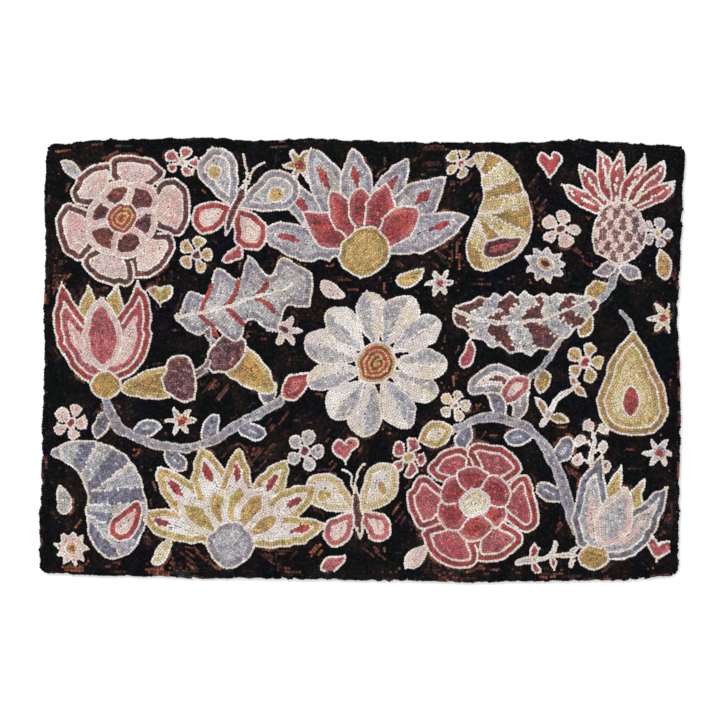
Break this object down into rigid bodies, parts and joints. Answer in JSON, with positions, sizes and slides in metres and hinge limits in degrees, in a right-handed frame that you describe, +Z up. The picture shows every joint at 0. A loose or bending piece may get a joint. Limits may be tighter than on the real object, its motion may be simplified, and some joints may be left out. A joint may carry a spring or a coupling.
{
  "type": "hooked rug",
  "caption": "Rectangular hand-hooked wool rug lying flat, with a dense pile of low yarn loops and a slightly uneven loop edge.",
  "frame": {"origin": "centre of the rug's underside, on the floor it lies on", "axes": "+X along the rug's length, +Y across it towards the top edge of its design, +Z up out of the pile"},
  "size_m": [0.921, 0.6348, 0.0094],
  "materials": {
    "wool_pile": "matte wool yarn loops",
    "foundation_cloth": "coarse plain-woven cloth"
  },
  "bodies": {
    "root": {"hooked_rug": "wool_pile"}
  },
  "joints": []
}
